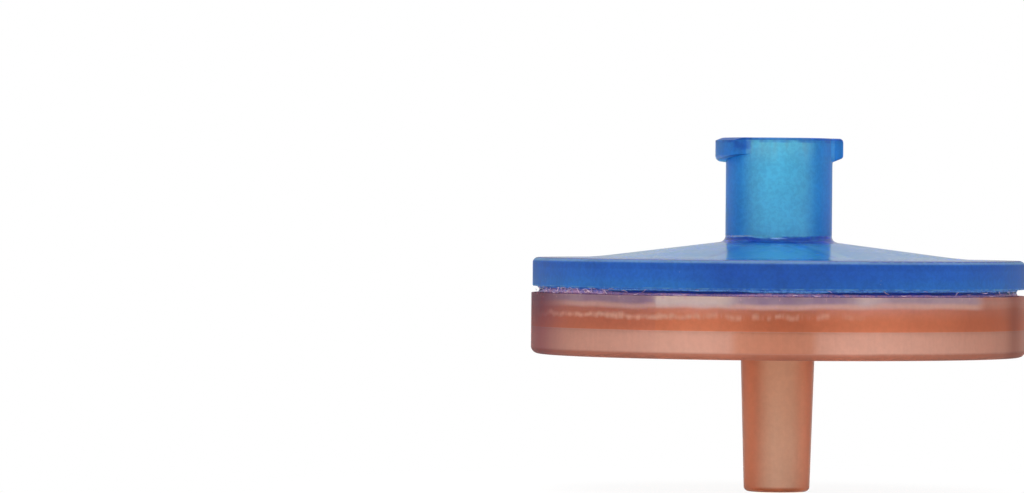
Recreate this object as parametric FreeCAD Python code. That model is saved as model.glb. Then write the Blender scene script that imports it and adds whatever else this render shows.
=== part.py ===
import FreeCAD, Part
import math
import os

# Syringe filter for biology work: two polypropylene mouldings welded round one flat membrane.
# Frame: the origin is the centre of the outlet's end face, +Z runs up the axis to the inlet's mouth,
# and the inlet's two lock lugs lie along X. All sizes are in millimetres.

# Disc
disc_diameter = 30.0           # rim of the inlet half
rim_height = 1.74
rim_round = 0.33
rim_under_round = 0.06
rim_flat_width = 3.33          # flat rim, up to where the straight slope of the roof would meet it
roof_slope = 7.15              # degrees
roof_blend_radius = 25.0

# Inlet: a hub with the standard socket, whose diameter shrinks by 6 % of its depth
taper = 0.06
hub_diameter = 6.5
hub_height = 7.37              # above the rim's top
hub_root_round = 0.4
hub_mouth_round = 0.12
socket_mouth_diameter = 4.27
socket_depth = 7.7
socket_lead = 0.12             # bevel round the mouth
socket_shoulder_width = 0.15   # stop at the socket's foot
spider_arm_width = 0.83        # X-shaped, across the opening under the shoulder
spider_height = 0.7
spider_root = 0.2              # length of an arm's end inside the wall

# Lock lugs at the mouth: the one towards +X has a ramp under it, the one towards -X is blunt
lug_reach = 0.65               # out from the hub
lug_root_half_width = 1.91     # where a side leaves the hub
lug_side_angle = 20.6          # each side turns in towards the crest
lug_side_round = 0.2
lug_root = 0.25                # inside the hub's wall
lug_end_height = 0.98          # of the end where the collar's thread runs in
lug_lead_angle = 8.5           # degrees, how the underside falls away from that end
ramped_lug_height = 1.18       # at the crest
ramped_lug_slope = 22.5        # underside, degrees from the level
ramped_lug_under_round = 0.22
ramped_lug_round = 0.25
blunt_lug_height = 1.41
blunt_lug_slope = 6.6
blunt_lug_under_round = 0.35
blunt_lug_bevel_width = 0.4    # top edge of the crest
blunt_lug_bevel_height = 0.16

# Outlet: a tube with the same taper outside and a plain bore
outlet_tip_diameter = 4.0
outlet_bore_diameter = 2.0
outlet_reach = 8.32            # end face to the skirt's lower edge
outlet_tip_round = 0.3
outlet_root_round = 0.5
outlet_bore_lead = 0.35        # length of the bevel at each end of the bore
outlet_end_bevel = 0.18        # its width at the end face

# Weld joint between the halves
joint_gap = 0.4                # open groove below the rim
tongue_inset = 0.5             # depth of that groove
tongue_play = 0.05             # radial, to the outlet's lip
weld_width = 1.25              # tongue and shelf, outside the membrane's seat
lip_height = 0.25              # outlet's lip above the weld shelf
shelf_above_seat = 0.7

# Membrane and the chamber over it
membrane_thickness = 0.15
membrane_play = 0.05           # radial, in the seat
clamp_play = 0.1               # radial, clamping ring to the seat's wall
clamped_edge = 2.2             # width of membrane under the clamping ring
chamber_gap = 0.6              # membrane to the ridges over it
ridge_height = 0.4
ridge_width = 0.3
ridge_pitch = 0.6
ridge_first_radius = 4.5
ridge_end_gap = 0.8            # least, from the last ridge to the chamber's wall
feed_channel_width = 0.88      # four, along and across the lugs
feed_channel_depth = 0.6       # into the ceiling
feed_ring_width = 0.6          # annular channel beside the clamping ring
feed_ring_depth = 0.3
cross_channel_width = 0.5      # four more between them, through the ridges only

# Outlet half under the membrane
outlet_overhang = 0.07         # radial, its wall beyond the inlet's rim
lip_round = 0.05
seat_floor = 1.1
skirt_depth = 1.67             # hollow under the floor
skirt_wall = 1.2
skirt_round = 0.45
skirt_inner_round = 0.2
drain_depth = 0.35
drain_groove_width = 0.4
drain_pitch = 0.8
drain_first_radius = 2.4
drain_end_gap = 0.4            # last groove to the clamped edge
drain_arm_width = 0.8
drain_arms = 8

# Heights up the axis
skirt_edge_z = outlet_reach
floor_under_z = skirt_edge_z + skirt_depth
seat_z = floor_under_z + seat_floor
membrane_top_z = seat_z + membrane_thickness
ridge_z = membrane_top_z + chamber_gap
ceiling_z = ridge_z + ridge_height
shelf_z = seat_z + shelf_above_seat
lip_z = shelf_z + lip_height
rim_under_z = lip_z + joint_gap
rim_top_z = rim_under_z + rim_height
mouth_z = rim_top_z + hub_height
shoulder_z = mouth_z - socket_depth

# Radii, from the rim inwards
rim_radius = disc_diameter / 2
outlet_radius = rim_radius + outlet_overhang
tongue_radius = rim_radius - tongue_inset
lip_inner_radius = tongue_radius + tongue_play
seat_radius = tongue_radius - weld_width
membrane_radius = seat_radius - membrane_play
clamp_radius = seat_radius - clamp_play
chamber_radius = membrane_radius - clamped_edge
skirt_inner_radius = outlet_radius - skirt_wall
roof_foot_radius = rim_radius - rim_flat_width
hub_radius = hub_diameter / 2
crest_radius = hub_radius + lug_reach
mouth_radius = socket_mouth_diameter / 2
bore_radius = outlet_bore_diameter / 2
tip_radius = outlet_tip_diameter / 2

axis = FreeCAD.Vector(0, 0, 1)
centre = FreeCAD.Vector(0, 0, 0)
overrun = 1.0                  # how far a cutting shape runs past what it trims


def socket_radius(z):
    return mouth_radius - (mouth_z - z) * taper / 2


def outlet_tube_radius(z):
    return tip_radius + z * taper / 2


hole_radius = socket_radius(shoulder_z) - socket_shoulder_width


def corner_arc(before, corner, after, radius):
    # start, middle and end of the arc that rounds a corner
    way_in = (before - corner).normalize()
    way_out = (after - corner).normalize()
    half_angle = way_in.getAngle(way_out) / 2
    setback = radius / math.tan(half_angle)
    bisector = (way_in + way_out).normalize()
    middle = corner + bisector * (radius / math.sin(half_angle) - radius)
    return corner + way_in * setback, middle, corner + way_out * setback


def outline(corners):
    # closed wire through (radius, height) corners, where a third number rounds that corner
    points = [FreeCAD.Vector(corner[0], 0, corner[1]) for corner in corners]
    edges = []
    spans = []
    for index, corner in enumerate(corners):
        point = points[index]
        if len(corner) > 2:
            before, after = points[index - 1], points[(index + 1) % len(points)]
            start, middle, end = corner_arc(before, point, after, corner[2])
            edges.append(Part.Arc(start, middle, end).toShape())
            spans.append((start, end))
        else:
            spans.append((point, point))
    for index, (_, end) in enumerate(spans):
        next_start = spans[(index + 1) % len(spans)][0]
        edges.append(Part.LineSegment(end, next_start).toShape())
    return Part.Wire(Part.__sortEdges__(edges))


def turned(corners):
    # solid of revolution about the axis
    return Part.Face(outline(corners)).revolve(centre, axis, 360)


def ring(inner_radius, outer_radius, low_z, high_z):
    return turned([(inner_radius, low_z), (outer_radius, low_z),
                   (outer_radius, high_z), (inner_radius, high_z)])


def arms(count, first_angle, length, width, low_z, high_z):
    # flat bars from the axis outwards, evenly spaced
    bars = []
    for turn in range(count):
        bar = Part.makeBox(length, width, high_z - low_z, FreeCAD.Vector(0, -width / 2, low_z))
        bar.rotate(centre, axis, first_angle + turn * 360 / count)
        bars.append(bar)
    return bars[0].fuse(bars[1:])


def inlet_shell():
    # hub with its socket, roof, rim, weld tongue and clamping ring, turned from one section
    roof_at_hub_z = rim_top_z + (roof_foot_radius - hub_radius) * math.tan(math.radians(roof_slope))
    lead_z = mouth_z - socket_lead
    return turned([
        (hole_radius, ridge_z),
        (hole_radius, shoulder_z),
        (socket_radius(shoulder_z), shoulder_z),
        (socket_radius(lead_z), lead_z),
        (mouth_radius + socket_lead, mouth_z),
        (hub_radius, mouth_z, hub_mouth_round),
        (hub_radius, roof_at_hub_z, hub_root_round),
        (roof_foot_radius, rim_top_z, roof_blend_radius),
        (rim_radius, rim_top_z, rim_round),
        (rim_radius, rim_under_z, rim_under_round),
        (tongue_radius, rim_under_z),
        (tongue_radius, shelf_z),
        (clamp_radius, shelf_z),
        (clamp_radius, membrane_top_z),
        (chamber_radius, membrane_top_z),
        (chamber_radius, ridge_z)])


def ceiling_hollows():
    # what is left out of the ceiling between the ridges, and the channels that spread the flow
    ridged_width = chamber_radius - ridge_end_gap - ridge_first_radius
    ridge_count = int(ridged_width / ridge_pitch) + 1
    ridge_radii = [ridge_first_radius + step * ridge_pitch for step in range(ridge_count)]
    hollows = [ring(inner + ridge_width / 2, outer - ridge_width / 2, ridge_z, ceiling_z)
               for inner, outer in zip(ridge_radii, ridge_radii[1:])]
    hollows.append(ring(ridge_radii[-1] + ridge_width / 2, chamber_radius, ridge_z, ceiling_z))
    feed_ring_radius = chamber_radius - feed_ring_width
    hollows.append(ring(feed_ring_radius, chamber_radius, ridge_z, ceiling_z + feed_ring_depth))
    feed_top_z = ceiling_z + feed_channel_depth
    feed = arms(4, 0, rim_radius, feed_channel_width, ridge_z, feed_top_z)
    cross = arms(4, 45, rim_radius, cross_channel_width, ridge_z, ceiling_z)
    chamber = Part.makeCylinder(chamber_radius, feed_top_z - ridge_z, FreeCAD.Vector(0, 0, ridge_z))
    hollows.append(feed.fuse(cross).common(chamber))
    return hollows


def lug_plan():
    # prism between the sides of the lug towards +X, which turn in towards its crest
    turn_in = math.tan(math.radians(lug_side_angle))
    root_x = math.sqrt(hub_radius ** 2 - lug_root_half_width ** 2)
    middle_y = lug_root_half_width + root_x * turn_in
    end_x = crest_radius + overrun
    end_y = middle_y - end_x * turn_in
    corners = [FreeCAD.Vector(x, y, rim_top_z) for x, y in [
        (0, -middle_y), (end_x, -end_y), (end_x, end_y), (0, middle_y)]]
    return Part.Face(Part.makePolygon(corners + corners[:1])).extrude(axis * (mouth_z + overrun - rim_top_z))


def on_crest(edge):
    return all(abs(math.hypot(end.X, end.Y) - crest_radius) < 1e-6 for end in edge.Vertexes)


def below_lead():
    # what the collar's thread clears away under the lug towards +X
    reach = 2 * crest_radius
    block = Part.makeBox(2 * reach, 2 * reach, reach, FreeCAD.Vector(-reach, -reach, -reach))
    block.rotate(centre, FreeCAD.Vector(1, 0, 0), lug_lead_angle)
    return block.translate(FreeCAD.Vector(0, lug_root_half_width, mouth_z - lug_end_height))


def lug(height, slope, under_round, top_corners):
    # its section is turned right round and trimmed to the plan, then its upright edges are rounded
    root_radius = hub_radius - lug_root
    under_z = mouth_z - height
    root_under_z = under_z - (crest_radius - root_radius) * math.tan(math.radians(slope))
    band = turned([(root_radius, root_under_z), (crest_radius, under_z, under_round)] + top_corners
                  + [(root_radius, mouth_z)])
    block = band.common(lug_plan()).Solids[0]
    upright = [edge for edge in block.Edges if isinstance(edge.Curve, Part.Line) and on_crest(edge)]
    return block.makeFillet(lug_side_round, upright).cut(below_lead())


def lock_lugs():
    ramped = lug(ramped_lug_height, ramped_lug_slope, ramped_lug_under_round,
                 [(crest_radius, mouth_z, ramped_lug_round)])
    blunt = lug(blunt_lug_height, blunt_lug_slope, blunt_lug_under_round,
                [(crest_radius, mouth_z - blunt_lug_bevel_height),
                 (crest_radius - blunt_lug_bevel_width, mouth_z)])
    blunt.rotate(centre, axis, 180)
    return [ramped, blunt]


def spider():
    return arms(4, 45, hole_radius + spider_root, spider_arm_width, shoulder_z - spider_height, shoulder_z)


def inlet_housing():
    shell = inlet_shell().cut(ceiling_hollows())
    return shell.fuse(lock_lugs() + [spider()]).removeSplitter()


def filter_membrane():
    return Part.makeCylinder(membrane_radius, membrane_thickness, FreeCAD.Vector(0, 0, seat_z))


def outlet_shell():
    # tube with its bore, floor, skirt, cup wall, weld shelf and lip, turned from one section
    return turned([
        (bore_radius + outlet_end_bevel, 0),
        (tip_radius, 0, outlet_tip_round),
        (outlet_tube_radius(floor_under_z), floor_under_z, outlet_root_round),
        (skirt_inner_radius, floor_under_z, skirt_inner_round),
        (skirt_inner_radius, skirt_edge_z, skirt_inner_round),
        (outlet_radius, skirt_edge_z, skirt_round),
        (outlet_radius, lip_z, lip_round),
        (lip_inner_radius, lip_z),
        (lip_inner_radius, shelf_z),
        (seat_radius, shelf_z),
        (seat_radius, seat_z),
        (bore_radius + outlet_bore_lead, seat_z),
        (bore_radius, seat_z - outlet_bore_lead),
        (bore_radius, outlet_bore_lead)])


def drain_hollows():
    # grooves under the membrane, joined by arms that lead to the bore
    low_z = seat_z - drain_depth
    drain_radius = chamber_radius - drain_end_gap
    groove_count = int((drain_radius - drain_first_radius) / drain_pitch) + 1
    hollows = []
    for step in range(groove_count):
        radius = drain_first_radius + step * drain_pitch
        hollows.append(ring(radius - drain_groove_width / 2, radius + drain_groove_width / 2, low_z, seat_z))
    drained = Part.makeCylinder(drain_radius, drain_depth, FreeCAD.Vector(0, 0, low_z))
    hollows.append(arms(drain_arms, 0, rim_radius, drain_arm_width, low_z, seat_z).common(drained))
    return hollows


def outlet_housing():
    return outlet_shell().cut(drain_hollows()).removeSplitter()


pieces = {
    "inlet_housing": inlet_housing(),
    "filter_membrane": filter_membrane(),
    "outlet_housing": outlet_housing(),
}

os.makedirs("parts", exist_ok=True)
for name, shape in pieces.items():
    shape.exportStep("parts/" + name + ".step")
    print(name, len(shape.Solids), "solid, valid", shape.isValid(), "volume", round(shape.Volume, 1), "mm3")
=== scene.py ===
import bpy
import bmesh
import math
import random
from mathutils import Matrix, Vector, noise


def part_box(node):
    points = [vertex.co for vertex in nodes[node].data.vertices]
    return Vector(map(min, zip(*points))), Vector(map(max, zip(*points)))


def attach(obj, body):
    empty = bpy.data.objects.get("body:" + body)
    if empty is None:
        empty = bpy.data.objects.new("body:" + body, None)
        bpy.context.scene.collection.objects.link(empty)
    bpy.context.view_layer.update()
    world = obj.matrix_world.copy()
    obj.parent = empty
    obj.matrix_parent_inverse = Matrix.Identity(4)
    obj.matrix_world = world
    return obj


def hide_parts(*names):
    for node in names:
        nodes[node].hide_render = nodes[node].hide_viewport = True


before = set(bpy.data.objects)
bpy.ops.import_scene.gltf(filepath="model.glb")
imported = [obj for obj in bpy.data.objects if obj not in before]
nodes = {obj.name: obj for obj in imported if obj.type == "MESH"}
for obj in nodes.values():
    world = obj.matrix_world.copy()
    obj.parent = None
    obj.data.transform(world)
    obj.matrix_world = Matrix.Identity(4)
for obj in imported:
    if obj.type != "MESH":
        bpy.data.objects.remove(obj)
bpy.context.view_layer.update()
mm = 0.001
bpy.context.scene.view_settings.view_transform = "Standard"


# camera

cameraSetup = {
    "distance": 350,  # mm from the filter's axis
    "azimuth": -22,  # degrees, so the blunt lug turns a little towards the lens
    "height": 16.5,  # mm above the bench
    "lens": 201.3046875,  # mm
    "sensor": 36,  # mm wide
    "axisAside": 9.369140625,  # mm on the sensor, from its middle right to the filter's axis
    "horizonAbove": 0.973828125,  # mm on the sensor, from its middle up to the lens's own level
    "roll": 0.47,  # degrees
    "nearest": 0.01,  # m, what the lens takes in
    "farthest": 20,
}


def addCamera(setup):
    turn = math.radians(setup["azimuth"])
    spot = Vector((math.sin(turn) * setup["distance"], -math.cos(turn) * setup["distance"], setup["height"])) * mm
    yaw = math.atan(setup["axisAside"] / setup["lens"])
    pitch = math.atan(setup["horizonAbove"] / setup["lens"])
    camera = bpy.data.objects.new("camera", bpy.data.cameras.new("camera"))
    camera.data.lens = setup["lens"]
    camera.data.sensor_width = setup["sensor"]
    camera.data.clip_start = setup["nearest"]
    camera.data.clip_end = setup["farthest"]
    level = Matrix.Rotation(turn + yaw, 4, "Z") @ Matrix.Rotation(math.pi / 2 - pitch, 4, "X")
    camera.matrix_world = Matrix.Translation(spot) @ level @ Matrix.Rotation(math.radians(setup["roll"]), 4, "Z")
    bpy.context.scene.collection.objects.link(camera)
    bpy.context.scene.camera = camera


addCamera(cameraSetup)
print("camera placed")


# node helpers

def newTree(name):
    material = bpy.data.materials.new(name)
    material.use_nodes = True
    material.node_tree.nodes.clear()
    return material, material.node_tree


def add(tree, kind, **settings):
    node = tree.nodes.new("ShaderNode" + kind)
    for name, value in settings.items():
        setattr(node, name, value)
    return node


def plug(tree, targets, values):
    # a socket is linked, anything else is set
    for target, value in zip(targets, values):
        if isinstance(value, bpy.types.NodeSocket):
            tree.links.new(value, target)
        else:
            target.default_value = value


def feed(tree, node, **inputs):
    # each input by its socket's name, with _ for a space
    plug(tree, [node.inputs[name.replace("_", " ")] for name in inputs], inputs.values())
    return node


def treeOf(*values):
    # the tree that linked values are in
    return next(value.id_data for value in values if isinstance(value, bpy.types.NodeSocket))


def calc(operation, *values):
    tree = treeOf(*values)
    node = add(tree, "Math", operation=operation)
    plug(tree, node.inputs, values)
    return node.outputs[0]


def chained(operation, values):
    result = values[0]
    for value in values[1:]:
        result = calc(operation, result, value)
    return result


def times(*values):
    return chained("MULTIPLY", values)


def plus(*values):
    return chained("ADD", values)


def larger(*values):
    return chained("MAXIMUM", values)


def less(value, lost):
    return calc("SUBTRACT", value, lost)


def spread(value, low, high, toLow=0.0, toHigh=1.0, smooth=True):
    # value between low and high becomes toLow to toHigh
    tree = treeOf(value)
    node = add(tree, "MapRange", interpolation_type="SMOOTHSTEP" if smooth else "LINEAR")
    feed(tree, node, Value=value, From_Min=low, From_Max=high, To_Min=toLow, To_Max=toHigh)
    return node.outputs[0]


def between(mask, low, high):
    # low where the mask is 0, high where it is 1
    return spread(mask, 0, 1, low, high)


def blend(share, first, second, mode="MIX"):
    tree = treeOf(share, first, second)
    node = add(tree, "Mix", data_type="RGBA", blend_type=mode)
    plug(tree, (node.inputs[0], node.inputs[6], node.inputs[7]), (share, first, second))
    return node.outputs[2]


def mixValue(share, first, second):
    tree = treeOf(share, first, second)
    node = add(tree, "Mix", data_type="FLOAT")
    plug(tree, (node.inputs[0], node.inputs[2], node.inputs[3]), (share, first, second))
    return node.outputs[0]


def mixShader(share, first, second):
    tree = treeOf(share)
    node = add(tree, "MixShader")
    plug(tree, node.inputs, (share, first, second))
    return node.outputs[0]


def finishTree(tree, kind, **ends):
    # the tree's output, such as Surface or Volume
    feed(tree, add(tree, "Output" + kind), **ends)


def paint(red, green, blue):
    # a colour as it is named on screen, 0 to 255, in the renderer's own linear numbers
    shares = [value / 255 for value in (red, green, blue)]
    return tuple(c / 12.92 if c <= 0.04045 else ((c + 0.055) / 1.055) ** 2.4 for c in shares) + (1.0,)


white = (1, 1, 1, 1)


# stage: floor, sky and lamps

stageSetup = {
    "sky": 1.0,  # what the sky gives to matt surfaces, beside the white that shows behind things
    "inGloss": 0.65,  # how bright the room shows in a gloss
    "floorHalf": 3.0,  # metres
    "floorDrop": -0.00002,  # metres, so that the filter's foot doesn't lie in the floor's plane
    "floorColour": paint(236, 236, 236),
    "shadowReach": 34,  # mm, past which the floor is plain white
    "shadowCore": 0.3,  # share of that reach with the whole shadow
    "shadowShare": 0.07,
    "lampAim": (0, 0, 0.012),  # metres
    "lamps": {  # place in metres, size in metres, watts
        "softBoxAbove": ((0.1, 0.25, 0.7), 0.6, 3.0),
        "softBoxFront": ((-0.24, -0.56, 0.6), 0.45, 4.2),
    },
}


def shownBehind(tree):
    # 1 where the lens looks at it, directly or through clear plastic
    path = add(tree, "LightPath")
    return larger(path.outputs["Is Camera Ray"], path.outputs["Is Transmission Ray"])


def seenDirectly(tree):
    # the same, and in a gloss too
    path = add(tree, "LightPath")
    return larger(path.outputs["Is Camera Ray"], path.outputs["Is Glossy Ray"],
                  path.outputs["Is Transmission Ray"])


def roomStrength(tree, unseen):
    # full white behind things, and unseen elsewhere
    return spread(shownBehind(tree), 0, 1, unseen, 1.0, smooth=False)


def addSky(setup):
    world = bpy.data.worlds.new("softSky")
    bpy.context.scene.world = world
    world.use_nodes = True
    tree = world.node_tree
    tree.nodes.clear()
    inGloss = spread(seenDirectly(tree), 0, 1, setup["sky"], setup["inGloss"], smooth=False)
    background = feed(tree, add(tree, "Background"), Color=white, Strength=roomStrength(tree, inGloss))
    finishTree(tree, "World", Surface=background.outputs[0])


def floorMaterial(setup):
    material, tree = newTree("paleBench")
    length = add(tree, "VectorMath", operation="LENGTH")
    plug(tree, length.inputs, [add(tree, "TexCoord").outputs["Object"]])
    reach = setup["shadowReach"] * mm
    away = spread(length.outputs["Value"], setup["shadowCore"] * reach, reach)
    bright = times(seenDirectly(tree), spread(away, 0, 1, 1 - setup["shadowShare"], 1.0, smooth=False))
    matt = feed(tree, add(tree, "BsdfDiffuse"), Color=setup["floorColour"])
    glowing = feed(tree, add(tree, "Emission"), Color=white, Strength=roomStrength(tree, setup["inGloss"]))
    top = mixShader(bright, matt.outputs[0], glowing.outputs[0])
    underside = add(tree, "BsdfTransparent").outputs[0]
    surface = mixShader(add(tree, "NewGeometry").outputs["Backfacing"], top, underside)
    finishTree(tree, "Material", Surface=surface)
    return material


def addFloor(setup):
    half = setup["floorHalf"]
    mesh = bpy.data.meshes.new("floor")
    mesh.from_pydata([(-half, -half, 0), (half, -half, 0), (half, half, 0), (-half, half, 0)], [], [(0, 1, 2, 3)])
    mesh.materials.append(floorMaterial(setup))
    floor = bpy.data.objects.new("floor", mesh)
    floor.location.z = setup["floorDrop"]
    bpy.context.scene.collection.objects.link(floor)


def addLamps(setup):
    for name, (spot, size, watts) in setup["lamps"].items():
        lamp = bpy.data.lights.new(name, "AREA")
        lamp.shape = "DISK"
        lamp.size = size
        lamp.energy = watts
        holder = bpy.data.objects.new(name, lamp)
        holder.location = spot
        holder.rotation_euler = (Vector(setup["lampAim"]) - Vector(spot)).to_track_quat("-Z", "Y").to_euler()
        bpy.context.scene.collection.objects.link(holder)


addSky(stageSetup)
addFloor(stageSetup)
addLamps(stageSetup)
print("stage lit")


# shared effects, each a node group

frontTurn = -112  # degrees round the axis from +X to the filter's front
seedStep = 31.7  # how far apart in a texture two seeds are


def newGroup(name, inputs, outputs):
    group = bpy.data.node_groups.new(name, "ShaderNodeTree")
    for label, value in inputs.items():
        socket = group.interface.new_socket(name=label, in_out="INPUT", socket_type="NodeSocketFloat")
        socket.default_value = value
    for label in outputs:
        group.interface.new_socket(name=label, in_out="OUTPUT", socket_type="NodeSocketFloat")
    start = group.nodes.new("NodeGroupInput")
    return group, start.outputs, group.nodes.new("NodeGroupOutput")


def place(tree, group, **values):
    node = add(tree, "Group", node_tree=group)
    feed(tree, node, **values)
    return node.outputs


def split(tree, vector):
    node = add(tree, "SeparateXYZ")
    plug(tree, node.inputs, [vector])
    return node.outputs


def join(tree, *values):
    node = add(tree, "CombineXYZ")
    plug(tree, node.inputs, values)
    return node.outputs[0]


def scaled(tree, vector, scale):
    return feed(tree, add(tree, "VectorMath", operation="SCALE"), Vector=vector, Scale=scale).outputs[0]


def objectPoint(tree):
    # the point on the filter, in millimetres
    return scaled(tree, add(tree, "TexCoord").outputs["Object"], 1 / mm)


def grown(tree, vector, size):
    # the point measured in steps of size
    return scaled(tree, vector, calc("DIVIDE", 1.0, size))


def seeded(tree, vector, seed):
    # the same texture elsewhere, so that two uses differ
    away = times(seed, seedStep)
    shifted = add(tree, "VectorMath", operation="ADD")
    plug(tree, shifted.inputs, [vector, join(tree, away, away, away)])
    return shifted.outputs[0]


def noiseAt(tree, vector, detail, roughness):
    node = feed(tree, add(tree, "TexNoise"), Vector=vector, Scale=1.0, Detail=detail, Roughness=roughness)
    return node.outputs[0]


def makeWhereGroup():
    # radius, height and the way across to the right in millimetres, and the turn in degrees, all from the front
    group, _, made = newGroup("whereOnFilter", {}, ["Radius", "Height", "Turn", "Across"])
    turned = add(group, "VectorRotate", rotation_type="Z_AXIS")
    feed(group, turned, Vector=objectPoint(group), Angle=-math.radians(frontTurn))
    x, y, z = split(group, turned.outputs[0])
    feed(group, made, Radius=calc("SQRT", plus(times(x, x), times(y, y))), Height=z,
         Turn=calc("DEGREES", calc("ARCTAN2", y, x)), Across=y)
    return group


def makeBandGroup():
    # 1 between low and high, with soft edges
    group, given, made = newGroup("softBand", {"Value": 0, "Low": 0, "High": 1, "Edge": 0.1}, ["Mask"])
    value, low, high = given["Value"], given["Low"], given["High"]
    half = times(given["Edge"], 0.5)
    rise = spread(value, less(low, half), plus(low, half))
    fall = spread(value, less(high, half), plus(high, half), 1.0, 0.0)
    feed(group, made, Mask=times(rise, fall))
    return group


def makeCloudGroup():
    # cloudy patches in the melt, Size millimetres across
    group, given, made = newGroup("meltCloud", {"Size": 2, "Low": 0.4, "High": 0.6, "Seed": 0}, ["Mask"])
    point = seeded(group, grown(group, objectPoint(group), given["Size"]), given["Seed"])
    feed(group, made, Mask=spread(noiseAt(group, point, 2.0, 0.6), given["Low"], given["High"]))
    return group


def makeStreakGroup():
    # upright streaks, Width across and Length tall in millimetres
    group, given, made = newGroup("drawStreaks", {"Width": 0.3, "Length": 4, "Low": 0.4, "High": 0.6, "Seed": 0},
                                  ["Mask"])
    sizes = [given[name] for name in ("Width", "Width", "Length")]
    steps = [calc("DIVIDE", value, size) for value, size in zip(split(group, objectPoint(group)), sizes)]
    point = seeded(group, join(group, *steps), given["Seed"])
    feed(group, made, Mask=spread(noiseAt(group, point, 2.0, 0.6), given["Low"], given["High"]))
    return group


def makeSpeckGroup():
    # small round specks: Spacing apart and Size across in millimetres, Share of the places filled
    group, given, made = newGroup("specks", {"Spacing": 1, "Size": 0.1, "Share": 0.2, "Seed": 0}, ["Mask"])
    point = seeded(group, grown(group, objectPoint(group), given["Spacing"]), given["Seed"])
    cells = feed(group, add(group, "TexVoronoi"), Vector=point, Scale=1.0)
    reach = calc("DIVIDE", given["Size"], times(given["Spacing"], 2.0))
    spot = spread(cells.outputs["Distance"], times(reach, 0.5), reach, 1.0, 0.0)
    chance = feed(group, add(group, "SeparateColor"), Color=cells.outputs["Color"]).outputs[0]
    feed(group, made, Mask=times(spot, calc("LESS_THAN", chance, given["Share"])))
    return group


def makeGrainGroup():
    # the fine spark-worn skin of the mould, Fineness millimetres from bump to bump
    group, given, made = newGroup("mouldGrain", {"Fineness": 0.2, "Depth": 1, "Seed": 0}, ["Height"])
    point = seeded(group, grown(group, objectPoint(group), given["Fineness"]), given["Seed"])
    feed(group, made, Height=times(noiseAt(group, point, 1.0, 0.55), given["Depth"]))
    return group


whereGroup = makeWhereGroup()
bandGroup = makeBandGroup()
cloudGroup = makeCloudGroup()
streakGroup = makeStreakGroup()
speckGroup = makeSpeckGroup()
grainGroup = makeGrainGroup()
print("shared effects built")


# how the plastics are painted

fullTurn = (-180, 180)  # degrees


def pattern(tree, group, numbers):
    # a shared effect, its inputs in their order
    node = add(tree, "Group", node_tree=group)
    plug(tree, node.inputs, numbers)
    return node.outputs[0]


def cloud(at, key):
    return pattern(at["tree"], cloudGroup, at["look"][key])


def streaks(at, key):
    return pattern(at["tree"], streakGroup, at["look"][key])


def specks(at, key):
    return pattern(at["tree"], speckGroup, at["look"][key])


def findWhere(tree, look):
    # what can be measured on the filter, kept with the tree and the look that use it
    found = place(tree, whereGroup)
    return {"tree": tree, "look": look,
            **{name: found[name.capitalize()] for name in ("radius", "height", "turn", "across")}}


def zone(at, key):
    # 1 inside all limits in the look: what is measured, low, high and the width of the soft edge
    return times(*[pattern(at["tree"], bandGroup, (at[name], *ends)) for name, *ends in at["look"][key]])


def ramp(at, key):
    # smooth changes: what is measured, low, high, and what they become if it isn't 0 and 1
    return times(*[spread(at[name], *ends) for name, *ends in at["look"][key]])


def wavering(value, mask, reach):
    return plus(value, between(mask, -reach, reach))


def marks(turn, stops):
    # a strip of tones round the filter: (degrees from the front, tone) pairs
    low, high = fullTurn
    tree = treeOf(turn)
    strip = add(tree, "ValToRGB")
    strip.color_ramp.interpolation = "LINEAR"
    elements = strip.color_ramp.elements
    while len(elements) < len(stops):
        elements.new(0.5)
    for element, (spot, tone) in zip(elements, stops):
        element.position = (spot - low) / (high - low)
        element.color = (tone, tone, tone, 1)
    plug(tree, strip.inputs, [spread(turn, low, high, smooth=False)])
    return strip.outputs[0]


def layered(at, colour, layers):
    # colours laid one over another, each through its masks; a colour's fourth number is how strongly it covers
    for name, *masks in layers:
        *tint, strength = at["look"][name]
        covers = masks if strength == 1 else [*masks, strength]
        colour = blend(times(*covers), colour, (*tint, 1))
    return colour


def shaded(share, colour, tint):
    return blend(share, colour, blend(1.0, colour, tint, "MULTIPLY"))


def mottled(share, colour, tone, dark):
    return blend(share, colour, blend(tone, dark, white), "MULTIPLY")


def meltTone(at):
    # broad and fine clouds together
    return plus(times(cloud(at, "broadClouds"), 0.5), times(cloud(at, "fineClouds"), 0.5))


def litThroughGlow(at):
    # painted glow where a tube looks thin, as light shines through it: at its middle, and more weakly where the eye
    # looks along its wall
    sides = plus(zone(at, "rightSide"), zone(at, "leftSide"))
    return larger(zone(at, "middle"), times(sides, at["look"]["sideShare"]))


def plasticSurface(tree, look, colour, roughness, height):
    bump = feed(tree, add(tree, "Bump"), Strength=look["bumpStrength"], Distance=look["bumpDepth"] * mm, Height=height)
    shader = feed(tree, add(tree, "BsdfPrincipled"), Base_Color=colour, Roughness=roughness, IOR=look["ior"],
                  Transmission_Weight=look["clear"], Normal=bump.outputs[0],
                  Specular_IOR_Level=look["shine"], Specular_Tint=look["shineTint"])
    dye = feed(tree, add(tree, "VolumeAbsorption"), Color=look["dye"], Density=look["dyeDensity"])
    finishTree(tree, "Material", Surface=shader.outputs[0], Volume=dye.outputs[0])


plastic = {
    "rightSide": [("turn", 75, 105, 14)],  # degrees from the front
    "leftSide": [("turn", -105, -75, 14)],
    "sideShare": 0.6,
    "ior": 1.49,
    "shine": 0.25,
    "dyeDensity": 1000,
    "wallRoughness": 0.64,
    "cloudRoughness": 0.05,
    "bumpStrength": 0.35,
    "bumpDepth": 0.02,  # mm
}


# blue inlet half

# dark blue of the crease at the hub's foot, partly its own line and partly painted shade; also painted shade at the
# mouth's lip and at the left lug
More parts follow.
